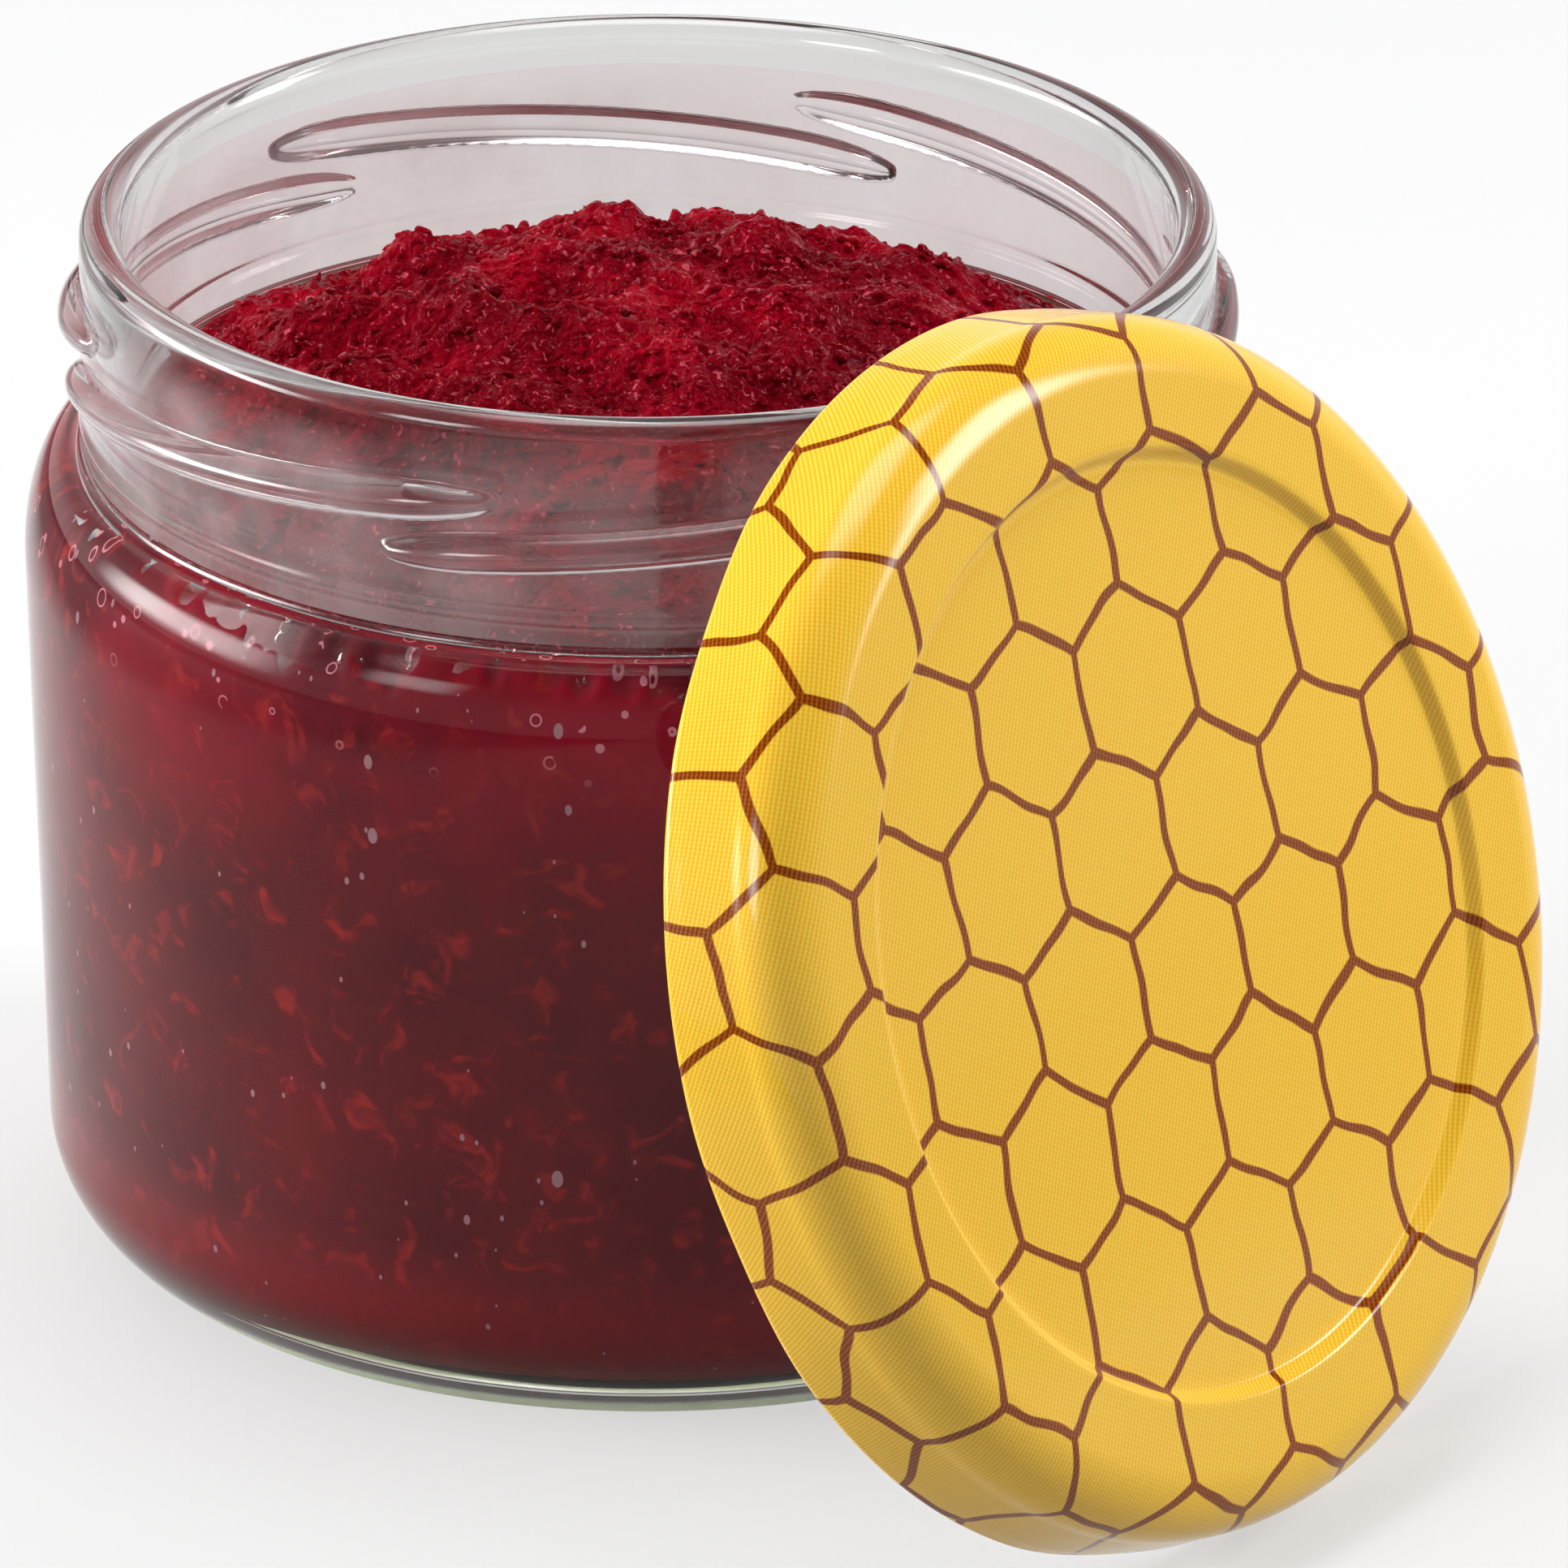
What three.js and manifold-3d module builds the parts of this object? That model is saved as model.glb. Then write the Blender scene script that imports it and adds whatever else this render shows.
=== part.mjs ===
// Squat glass preserve jar with a six-lug twist-off lid, filled and standing open.
// The lid has been taken off and leans on the jar, with its inside towards the glass.
// Millimetres, +Z up. The origin is on the table, in the middle of the part's footprint.
import * as THREE from "three";
import { mergeVertices } from "three/addons/utils/BufferGeometryUtils.js";
import Module from "manifold-3d";

// Glass jar, outside
const JAR_HEIGHT = 75.6;
const BODY_RADIUS = 43.8; // widest, at the foot of the shoulder
const BODY_TAPER = 1.1; // radius lost from the shoulder down to the heel
const HEEL_ROUND = 9;
const SHOULDER_DROP = 24.6; // from the rim down to the foot of the shoulder
const NECK_DROP = 17.2; // from the rim down to the top of the shoulder
const FINISH_RADIUS = 39.7; // plain wall that carries the threads
const BEARING_WIDTH = 4; // flat ring that the jar stands on
const PUSH_UP = 2; // hollow under the base, which the inside floor follows

// Glass jar, inside
const BODY_WALL = 3.1;
const NECK_WALL = 2.9;
const BASE_THICKNESS = 4.7;
const INNER_HEEL_ROUND = 5.5;
const INNER_SHOULDER_DROP = 1; // inside shoulder below the outside one

// Twist-off threads: six short ridges with pointed ends, each passing over the next
const THREAD_STARTS = 6;
const THREAD_PROJECTION = 1.56;
const THREAD_HEIGHT = 3;
const THREAD_LOW_DROP = 10.7; // from the rim down to the low end
const THREAD_HIGH_DROP = 6.2; // from the rim down to the high end
const THREAD_SPAN = 72; // degrees
const THREAD_POINT = 11; // degrees taken by each pointed end
const THREAD_FIRST = 190; // degrees, where the first ridge starts
const THREAD_ROOT = 0.9; // depth of a ridge's foot inside the wall

// Preserve, filled to the neck and heaped
const FILL_GAP = 0.3;
const HEAP_RISE = 11.8;
const HEAP_POWER = 2.6; // higher is flatter on top and steeper at the edge
const LUMP_HEIGHT = 2;
const LUMP_PITCH = 11; // from lump to lump
const LUMP_FADE = 5; // width at the glass over which the lumps die out
const LUMP_WAVES = 5; // directions in which waves cross to make the lumps
const LUMP_TURN = 137.5; // degrees from one direction to the next

// Pressed lid
const SHEET = 0.5;
const LID_HEIGHT = 10.2;
const THREAD_CLEARANCE = 0.25; // between the threads and the rolled edge
const CURL_DIAMETER = 1.3;
const SKIRT_FLARE = 0.9; // how far the skirt leans out on its way down
const LID_ROUND = 4.5; // between the top and the skirt
const PANEL_DEPTH = 0.9; // the middle lies this much below the outer ring
const PANEL_STEP = 1.1; // width of the slope around the middle
const FLAT_DEPTH = 0.35; // how far the skirt is drawn in above each lug

// Lugs and sealing ring
const LUG_COUNT = 6;
const LUG_SPAN = 15; // degrees
const LUG_HEIGHT = 0.9;
const LUG_LIFT = 0.1; // above the lowest line of the rolled edge
const LUG_CLEARANCE = 0.35; // between the lugs and the plain wall
const SEAL_WIDTH = 3.4;
const SEAL_THICKNESS = 0.6;
const SEAL_GAP = 0.3;
const SEAL_MARGIN = 1.4; // between the sealing ring and the slope around the middle

// How the lid leans
const LEAN = 18; // degrees from upright
const LID_SHIFT = -19; // sideways from the jar's axis
const LID_ROLL = 12; // degrees about the lid's own axis
const LEAN_GAP = 0.4; // between the lid and the glass
const TABLE_GAP = 0.3; // under the lid, so that the part stands on the jar alone

// Facets
const JAR_SIDES = 60;
const HEAP_RINGS = 10;
const LID_SIDES = 60;

const wasm = await Module();
wasm.setup();

const neckZ = JAR_HEIGHT - NECK_DROP;
const shoulderZ = JAR_HEIGHT - SHOULDER_DROP;
const boreRadius = FINISH_RADIUS - NECK_WALL;
const rimRound = NECK_WALL / 2;
const bearingOuter = BODY_RADIUS - BODY_TAPER - HEEL_ROUND;
const bearingInner = bearingOuter - BEARING_WIDTH;
const curlInner = FINISH_RADIUS + THREAD_PROJECTION + THREAD_CLEARANCE;
const lidRadius = curlInner + CURL_DIAMETER;
const skirtTop = lidRadius - SKIRT_FLARE;
const roundCentre = skirtTop - LID_ROUND;
const lugInner = FINISH_RADIUS + LUG_CLEARANCE;
const sealInner = roundCentre - SEAL_WIDTH;
const stepOuter = sealInner - SEAL_MARGIN;
const panelRadius = stepOuter - PANEL_STEP;

const radians = THREE.MathUtils.degToRad;

// Points of an elliptical arc, angles in degrees
function arc(x, y, rx, ry, from, to, steps) {
  return Array.from({ length: steps + 1 }, (_, i) => {
    const angle = radians(from + ((to - from) * i) / steps);
    return new THREE.Vector2(x + rx * Math.cos(angle), y + ry * Math.sin(angle));
  });
}

function point(x, y) {
  return new THREE.Vector2(x, y);
}

// Keeps positions only, joins equal vertices and drops triangles that shrank to a line
function weld(geometry) {
  const bare = geometry.clone();
  bare.deleteAttribute("normal");
  bare.deleteAttribute("uv");
  const welded = mergeVertices(bare, 1e-4);
  const index = welded.index.array;
  const kept = [];
  for (let i = 0; i < index.length; i += 3) {
    const [a, b, c] = [index[i], index[i + 1], index[i + 2]];
    if (a !== b && b !== c && c !== a) kept.push(a, b, c);
  }
  welded.setIndex(kept);
  return welded;
}

// Closed profile of radius and height, turned about the Z axis
function revolve(profile, sides) {
  const lathe = new THREE.LatheGeometry(profile, sides);
  return weld(lathe.rotateX(Math.PI / 2));
}

function toSolid(geometry) {
  const vertProperties = new Float32Array(geometry.attributes.position.array);
  const triVerts = new Uint32Array(geometry.index.array);
  return new wasm.Manifold(new wasm.Mesh({ numProp: 3, vertProperties, triVerts }));
}

function toGeometry(solid) {
  const mesh = solid.getMesh();
  const geometry = new THREE.BufferGeometry();
  geometry.setAttribute("position", new THREE.BufferAttribute(mesh.vertProperties, 3));
  geometry.setIndex(new THREE.BufferAttribute(mesh.triVerts, 1));
  return geometry;
}

function join(base, extras) {
  const solid = extras.reduce((sum, extra) => sum.add(toSolid(extra)), toSolid(base));
  return toGeometry(solid);
}

// Point of a dome that rises from its edge to the middle
function pushUp(edge, share, z) {
  return point(edge * share, z + PUSH_UP * (1 - share * share));
}

// Outside of the glass, from the middle of the base up and over the rim
function jarOutside() {
  const hollow = [0, 0.45, 0.75, 0.93].map((s) => pushUp(bearingInner, s, 0));
  const rimCentre = FINISH_RADIUS - rimRound;
  return [
    ...hollow,
    point(bearingInner, 0),
    ...arc(bearingOuter, HEEL_ROUND, HEEL_ROUND, HEEL_ROUND, -90, 0, 8),
    ...arc(FINISH_RADIUS, shoulderZ, BODY_RADIUS - FINISH_RADIUS, neckZ - shoulderZ, 0, 90, 7),
    ...arc(rimCentre, JAR_HEIGHT - rimRound, rimRound, rimRound, 0, 180, 8),
  ];
}

// Inside of the glass, from the foot of the neck down to the floor, drawn in by an inset
function jarInside(inset) {
  const neck = boreRadius - inset;
  const body = BODY_RADIUS - BODY_WALL - inset;
  const heel = body - BODY_TAPER;
  const top = neckZ - INNER_SHOULDER_DROP - inset;
  const foot = shoulderZ - INNER_SHOULDER_DROP - inset;
  const floor = BASE_THICKNESS + inset;
  const round = INNER_HEEL_ROUND - inset;
  return [
    ...arc(neck, foot, body - neck, top - foot, 90, 0, 6),
    ...arc(heel - round, floor + round, round, round, 0, -90, 5),
    ...[0.75, 0.45, 0].map((share) => pushUp(heel - round, share, floor)),
  ];
}

// Share of a ridge's full size at an angle from its low end
function ridgeSize(angle) {
  const fromEnd = Math.min(angle, THREAD_SPAN - angle, THREAD_POINT) / THREAD_POINT;
  return Math.sqrt(1 - (1 - fromEnd) ** 2);
}

// Cross-section of a ridge: a half round whose foot lies inside the wall, and whose tips sink into it
function ridgeSection(start, angle) {
  const size = ridgeSize(angle);
  const climb = ((THREAD_LOW_DROP - THREAD_HIGH_DROP) * angle) / THREAD_SPAN;
  const z = JAR_HEIGHT - THREAD_LOW_DROP + climb;
  const depth = (THREAD_ROOT + THREAD_PROJECTION) * (0.3 + 0.7 * size);
  const height = THREAD_HEIGHT * (0.1 + 0.9 * size);
  const turn = radians(start + angle);
  return arc(FINISH_RADIUS - THREAD_ROOT, z, depth, height / 2, -90, 90, 6).flatMap((p) => [
    p.x * Math.cos(turn),
    p.x * Math.sin(turn),
    p.y,
  ]);
}

// One ridge: its section swept up a helix, shrinking to a point at both ends
function threadRidge(start) {
  const lowEnd = [0, 0.04, 0.15, 0.35, 0.65, 1].map((s) => s * THREAD_POINT);
  const full = THREAD_SPAN - 2 * THREAD_POINT;
  const middle = [0.25, 0.5, 0.75].map((s) => THREAD_POINT + s * full);
  const highEnd = lowEnd.map((s) => THREAD_SPAN - s).reverse();
  const sections = [...lowEnd, ...middle, ...highEnd].map((angle) => ridgeSection(start, angle));
  return loft(sections.flat(), sections[0].length / 3);
}

// Closed skin over equal rings of points, with flat caps at both ends
function loft(positions, ringSize) {
  const rings = positions.length / 3 / ringSize;
  const index = [];
  for (let r = 0; r + 1 < rings; r += 1) {
    for (let i = 0; i < ringSize; i += 1) {
      const a = r * ringSize + i;
      const b = r * ringSize + ((i + 1) % ringSize);
      index.push(a, a + ringSize, b, b, a + ringSize, b + ringSize);
    }
  }
  const last = (rings - 1) * ringSize;
  for (let i = 1; i + 1 < ringSize; i += 1) {
    index.push(0, i, i + 1);
    index.push(last, last + i + 1, last + i);
  }
  const geometry = new THREE.BufferGeometry();
  geometry.setAttribute("position", new THREE.Float32BufferAttribute(positions, 3));
  geometry.setIndex(index);
  return geometry;
}

function glassJar() {
  const shell = revolve([...jarOutside(), ...jarInside(0)], JAR_SIDES);
  const pitch = 360 / THREAD_STARTS;
  const ridges = Array.from({ length: THREAD_STARTS }, (_, i) => threadRidge(THREAD_FIRST + pitch * i));
  return join(shell, ridges);
}

// Lumps of the heap above and below its rounded form
function lumps(x, y) {
  let sum = 0;
  for (let i = 0; i < LUMP_WAVES; i += 1) {
    const turn = radians(LUMP_TURN * i);
    const way = x * Math.cos(turn) + y * Math.sin(turn);
    sum += Math.sin((2 * Math.PI * way) / LUMP_PITCH + i);
  }
  return (LUMP_HEIGHT * sum) / LUMP_WAVES;
}

// Adds the lumps to the part of the preserve that stands above its edge
function roughenHeap(geometry, edge) {
  const position = geometry.attributes.position;
  for (let i = 0; i < position.count; i += 1) {
    const x = position.getX(i);
    const y = position.getY(i);
    const z = position.getZ(i);
    const fade = Math.min(1, (edge.x - Math.hypot(x, y)) / LUMP_FADE);
    if (z > edge.y) position.setZ(i, z + fade * lumps(x, y));
  }
  return geometry;
}

// Preserve: fills the inside up to the neck and rises to a lumpy heap in the middle
function preserveFill() {
  const inside = jarInside(FILL_GAP);
  const edge = inside[0];
  const heap = Array.from({ length: HEAP_RINGS }, (_, i) => {
    const share = 1 - (i + 1) / HEAP_RINGS;
    return point(edge.x * share, edge.y + HEAP_RISE * (1 - share ** HEAP_POWER));
  });
  return roughenHeap(revolve([...inside.reverse(), ...heap], JAR_SIDES), edge);
}

// Lid sheet with its open side down, from the middle of the top around the rolled edge and back
function lidProfile() {
  const curl = CURL_DIAMETER / 2;
  const roundZ = LID_HEIGHT - LID_ROUND;
  const inner = LID_ROUND - SHEET;
  return [
    point(0, LID_HEIGHT - PANEL_DEPTH),
    point(panelRadius, LID_HEIGHT - PANEL_DEPTH),
    point(stepOuter, LID_HEIGHT),
    ...arc(roundCentre, roundZ, LID_ROUND, LID_ROUND, 90, 0, 7),
    ...arc(lidRadius - curl, curl, curl, curl, 0, -255, 10),
    point(lidRadius - SHEET, CURL_DIAMETER),
    ...arc(roundCentre, roundZ, inner, inner, 0, 90, 6),
    point(stepOuter + SHEET / 2, LID_HEIGHT - SHEET),
    point(panelRadius + SHEET / 2, LID_HEIGHT - PANEL_DEPTH - SHEET),
    point(0, LID_HEIGHT - PANEL_DEPTH - SHEET),
  ];
}

// Draws the skirt in above each lug, most at the open edge
function drawInSkirt(geometry) {
  const position = geometry.attributes.position;
  for (let i = 0; i < position.count; i += 1) {
    const x = position.getX(i);
    const y = position.getY(i);
    const low = Math.max(0, 1 - position.getZ(i) / (LID_HEIGHT - LID_ROUND));
    const near = Math.max(0, Math.cos(LUG_COUNT * Math.atan2(y, x))) ** 2;
    const radius = Math.hypot(x, y);
    const scale = radius > lugInner ? 1 - (FLAT_DEPTH * low * near) / radius : 1;
    position.setXY(i, x * scale, y * scale);
  }
  return geometry;
}

// One lug: the rolled edge pressed flat and inwards
function lug(i) {
  const outer = lidRadius - CURL_DIAMETER / 2;
  const half = LUG_SPAN / 2;
  const back = arc(0, 0, outer, outer, -half, half, 4);
  const front = arc(0, 0, lugInner, lugInner, half * 0.8, -half * 0.8, 4);
  const shape = new THREE.Shape([...back, ...front]);
  const block = new THREE.ExtrudeGeometry(shape, { depth: LUG_HEIGHT, bevelEnabled: false });
  block.translate(0, 0, LUG_LIFT);
  return weld(block.rotateZ((2 * Math.PI * i) / LUG_COUNT));
}

function lidShell() {
  const sheet = drawInSkirt(revolve(lidProfile().reverse(), LID_SIDES));
  return join(sheet, Array.from({ length: LUG_COUNT }, (_, i) => lug(i)));
}

// Sealing ring under the lid's outer ring, where the rim presses
function lidGasket() {
  const top = LID_HEIGHT - SHEET - SEAL_GAP;
  const low = top - SEAL_THICKNESS;
  const ring = [
    point(sealInner, low + SEAL_THICKNESS / 2),
    point(sealInner + SEAL_THICKNESS / 2, low),
    point(roundCentre - SEAL_THICKNESS / 2, low),
    point(roundCentre, low + SEAL_THICKNESS / 2),
    point(roundCentre, top),
    point(sealInner, top),
    point(sealInner, low + SEAL_THICKNESS / 2),
  ];
  return revolve(ring, LID_SIDES);
}

// Corners of a piece, where it stands
function corners(mesh) {
  mesh.updateWorldMatrix(true, false);
  const position = mesh.geometry.attributes.position;
  return Array.from({ length: position.count }, (_, i) =>
    new THREE.Vector3().fromBufferAttribute(position, i).applyMatrix4(mesh.matrixWorld));
}

// Shortest way along a direction from the corners of one piece to the faces of another
function wayTo(mesh, other, direction) {
  const caster = new THREE.Raycaster();
  const ways = corners(mesh).map((corner) => {
    caster.set(corner, direction);
    const [hit] = caster.intersectObject(other);
    return hit ? hit.distance : Infinity;
  });
  return Math.min(...ways);
}

// Stands the lid on the table in front of the jar and moves it in until it nearly touches the glass
function leanLid(lid, shell, glassMesh) {
  lid.rotation.set(radians(90 - LEAN), 0, 0);
  lid.position.set(LID_SHIFT, -BODY_RADIUS - 2 * lidRadius, 0);
  lid.position.z = TABLE_GAP - Math.min(...corners(shell).map((corner) => corner.z));
  lid.updateWorldMatrix(false, true);
  glassMesh.updateWorldMatrix(true, false);
  const towards = new THREE.Vector3(0, 1, 0);
  const away = new THREE.Vector3(0, -1, 0);
  lid.position.y += Math.min(wayTo(shell, glassMesh, towards), wayTo(glassMesh, shell, away)) - LEAN_GAP;
}

function piece(name, geometry, look) {
  const mesh = new THREE.Mesh(geometry, new THREE.MeshStandardMaterial(look));
  mesh.name = name;
  return mesh;
}

const glass = { color: 0xdfe9e4, roughness: 0.05, metalness: 0, transparent: true, opacity: 0.35 };
const preserve = { color: 0x7d0a1c, roughness: 0.35, metalness: 0 };
const lacquer = { color: 0xf0bd3c, roughness: 0.25, metalness: 0.2 };
const compound = { color: 0xf1eee6, roughness: 0.6, metalness: 0 };

const jar = new THREE.Group();
const glassMesh = piece("glass_jar", glassJar(), glass);
jar.add(glassMesh, piece("preserve_fill", preserveFill(), preserve));

const shell = piece("lid_shell", lidShell(), lacquer);
const rolled = new THREE.Group();
rolled.rotation.z = radians(LID_ROLL);
rolled.add(shell, piece("lid_gasket", lidGasket(), compound));
const lid = new THREE.Group();
lid.add(rolled);
leanLid(lid, shell, glassMesh);

const part = new THREE.Group();
part.add(jar, lid);
const middle = new THREE.Box3().setFromObject(part, true).getCenter(new THREE.Vector3());
part.position.set(-middle.x, -middle.y, 0);

export default part;
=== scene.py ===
import math

import bmesh
import bpy
import numpy as np
from mathutils import Matrix, Vector


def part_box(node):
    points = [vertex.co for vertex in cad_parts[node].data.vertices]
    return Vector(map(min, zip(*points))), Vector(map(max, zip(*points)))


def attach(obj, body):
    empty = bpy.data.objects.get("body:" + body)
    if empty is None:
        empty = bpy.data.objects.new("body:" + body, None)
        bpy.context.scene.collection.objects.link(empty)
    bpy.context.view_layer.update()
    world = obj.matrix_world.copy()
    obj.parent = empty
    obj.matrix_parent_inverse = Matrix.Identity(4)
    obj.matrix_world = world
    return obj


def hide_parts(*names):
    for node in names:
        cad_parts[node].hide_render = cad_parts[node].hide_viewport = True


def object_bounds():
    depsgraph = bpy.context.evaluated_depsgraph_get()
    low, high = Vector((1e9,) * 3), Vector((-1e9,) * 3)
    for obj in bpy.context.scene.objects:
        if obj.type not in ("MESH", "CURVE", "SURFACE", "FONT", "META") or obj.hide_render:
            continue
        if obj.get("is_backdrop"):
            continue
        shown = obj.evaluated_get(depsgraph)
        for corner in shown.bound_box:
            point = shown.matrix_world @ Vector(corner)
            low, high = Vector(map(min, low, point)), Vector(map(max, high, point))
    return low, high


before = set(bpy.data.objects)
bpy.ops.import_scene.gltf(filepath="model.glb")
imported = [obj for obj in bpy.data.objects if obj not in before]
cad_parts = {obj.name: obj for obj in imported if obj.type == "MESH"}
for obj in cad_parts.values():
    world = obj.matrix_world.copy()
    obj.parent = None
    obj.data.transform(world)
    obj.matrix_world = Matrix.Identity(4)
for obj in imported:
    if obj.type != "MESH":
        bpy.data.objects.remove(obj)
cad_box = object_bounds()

# Open glass preserve jar, heaped, with its printed lid leaning on it.
# Profiles are in millimetres, radius and height. The scene is in metres.
MM = 0.001
NUDGE = 0.1  # keeps neighbouring points of a profile apart

# Glass, as in the CAD model
JAR_HEIGHT = 75.6
BODY_RADIUS = 43.8
HEEL_RADIUS = 42.7
HEEL_ROUND = 9.0
SHOULDER_Z = 51.0
NECK_Z = 58.4
FINISH_RADIUS = 39.7
BORE_RADIUS = 36.8
RIM_ROUND = 1.45
BEARING = (29.7, 33.7)
PUSH_UP = 2.0
INNER_BODY = 40.7
INNER_HEEL = 39.6
INNER_HEEL_ROUND = 5.5
FLOOR_Z = 4.7
FOOT_Z = 3.1
INNER_DROP = 1.0
FILLET = 1.0
GLASS_COLUMNS = 540
SEAM_Z = 61.2  # thin moulding line around the neck
SEAM_HEIGHT = 0.22
SEAM_WIDTH = 0.55
WAVE_HEIGHT = 0.25  # slight unevenness of the inner wall
WAVE_SIZE = 22.0

# Threads
THREAD_STARTS = 6
THREAD_FIRST = 190.0
THREAD_SPAN = 72.0
THREAD_POINT = 11.0
THREAD_LOW = 64.9
THREAD_HIGH = 69.4
THREAD_HEIGHT = 3.0
THREAD_PROJECTION = 1.56
THREAD_TIP = 0.1  # share of the height left at a pointed end
THREAD_SECTION = 0.75  # power of the rounded section

# Preserve
FILL_COLUMNS = 720
HEAP_ROWS = 160
HEAP_SPACING = 0.9  # power that sets the rows' distances from the middle
FILL_TOP = NECK_Z - INNER_DROP
HEAP_RISE = 11.8
HEAP_POWER = 2.6
HEAP_EDGE = 36.5
LUMP_HEIGHT = 2.0
LUMP_PITCH = 11.0
LUMP_FADE = 5.0
LUMP_WAVES = 5
LUMP_TURN = 137.5
PRESS = 0.2  # how far the preserve reaches into the glass, to touch it everywhere
FINE_FADE = 0.6
CLOD = (1.6, 4.2)  # height and size of the lumps in each layer of the texture
GRAIN = (1.3, 1.7)
CRUMB = (0.6, 0.9)
CLIMB = (1.6, 1.4)  # least height up the glass, and how much it varies
CLIMB_SIZE = 9.0
CLIMB_FADE = 2.0
CONTACT_Z = 54.2  # lowest height at which the preserve leaves the glass
CONTACT_RISE = 2.6
CONTACT_SIZE = 16.0
RAGGED = (2.6, 1.7)  # height and size of the ragged patches above it
GAP_DEPTH = 1.6
GAP_OPENING = 1.5
GAP_CLOSING = 1.2
GAP_TOP = FILL_TOP - 0.6

# Gratings on the heap and bubbles under the neck
GRATING_COUNT = 4200
GRATING_REACH = 0.97  # share of the heap's radius
GRATING_SINK = 0.1
GRATING_TILT = 0.35
GRATING_LENGTH = (0.2, 0.75)  # least half length, and how much it varies
GRATING_WIDTH = (0.35, 0.7)  # shares of the length
GRATING_FLATNESS = 0.8
GRATING_ROUGHNESS = (0.25, 0.5)
POLE = 0.03  # share of the half turn left off at each end of an ellipsoid
BUBBLE_COUNT = 260
BUBBLE_SIZE = (0.13, 0.45)  # least radius, and how much it varies
BUBBLE_RISE = (0.3, 1.7)  # above the contact line
BUBBLE_CLEARANCE = 0.1

# Lid, in its own frame: open side at height 0, axis along Z
LID_AT = (-10.01, -36.514, 40.84)
LID_LEAN = 18.0
LID_ROLL = 12.0
LID_RADIUS = 42.81
LID_HEIGHT = 10.2
LID_ROUND = 4.5
ROUND_CENTRE = 37.41
PANEL_RADIUS = 31.51
PANEL_STEP = 1.1
PANEL_DEPTH = 0.9
RING_EASE = 0.4  # rounding between the panel's slope and the outer ring
SKIRT_EASE = (0.05, 0.3)  # the same below the outer ring, out and down
CURL_EASE = 0.6
INNER_EASE = 0.5
CURL = 0.65
SHEET = 0.5
FLAT_DEPTH = 0.35
LUG_COUNT = 6
LUG_INNER = 40.05
LUG_SPAN = 15.0
LUG_Z = 0.55
LUG_HALF = 0.43
LUG_END = 0.02
LUG_CORNER = 6  # power that rounds a lug's corners
LUG_STEPS = 18
LUG_RING = 12
SEAL = (34.01, 37.41)
SEAL_TOP = 9.4
SEAL_THICKNESS = 0.6
SEAL_WAVE = (0.08, 6.0)  # height and size of its unevenness
LID_COLUMNS = 360
BARE_ROWS = 6  # rows of the rolled edge that the print leaves bare
PRINT_SPAN = 100.0  # millimetres across the lid's print coordinates

# Camera, set on the photograph's view
TARGET = (13.89, 5.991, 32.583)
DISTANCE = 1323.1
ELEVATION = 23.28
HEADING = -143.0
LENS = 430.5
SENSOR = 36.0
CLIP_END = 20.0

# Glass looks. A shade is what light keeps on its way through.
GLASS_IOR = 1.5
POLISH = 0.015
BODY_SHINE = 0.28
FINISH_SHINE = 0.9
GLASS_TINT = (0.75, 0.755, 0.75, 1)
GLASS_SHADE = (0.93, 0.93, 0.93, 1)
# The neck's pale inner film is partly a real juice smear and partly painted haze that stands for
# reflections, heavier on the left as painted sheen.
SMEAR_AND_HAZE_TINT = (0.76, 0.65, 0.66, 1)
SMEAR_SHADE = (0.9, 0.88, 0.88, 1)
SMEAR_LEVELS = (0.95, -0.3)  # of the noise, from clear to smeared
SMEAR_BELOW_RIM = (2.5, 7)  # where it starts and where it is full
PAINTED_HAZE_LEFTWARD = (0.005, -0.05)
SMEAR_AND_HAZE_SHARES = (0.7, 0.4)  # more on the left as painted haze, and everywhere
# Painted light: the milky, pale green heel stands for light caught in the base glass; only the ring
# the jar stands on is really stippled.
STIPPLE_AND_PAINTED_LIGHT_TINT = (0.74, 0.88, 0.52, 1)
FOOT_SHADE = (0.9, 0.92, 0.88, 1)
FOOT_BLEND = 0.8
FOOT_LEVELS = (1.1, 0.4)
FOOT_ROUGHNESS = 0.35

# Preserve looks. Stops are noise levels with a colour each.
HEAP_STOPS = [
    (0.3, (0.12, 0.0002, 0.004, 1)),
    (0.5, (0.2, 0.0003, 0.007, 1)),
    (0.66, (0.32, 0.0006, 0.011, 1)),
    (0.8, (0.55, 0.004, 0.014, 1)),
]
# Painted glints: pale pink specks in the heap's colour stand for glints on its wet surface.
PAINTED_GLINT_TINT = (0.5, 0.07, 0.1, 1)
PAINTED_GLINT_LEVELS = (0.61, 0.7)
GRAIN_WARP = (0.0012, 0.0012, 0.0012)
LOW_STOPS = [(0.35, (0.085, 0.003, 0.006, 1)), (0.65, (0.145, 0.005, 0.009, 1))]
# Painted light: brighter, redder juice under the neck, where light falls in from above through the
# open neck.
PAINTED_TOPLIGHT_STOPS = [(0.35, (0.1, 0.0005, 0.006, 1)), (0.65, (0.27, 0.001, 0.014, 1))]
PAINTED_TOPLIGHT_BLEND = (SHOULDER_Z - 13, SHOULDER_Z + 1)
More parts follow.
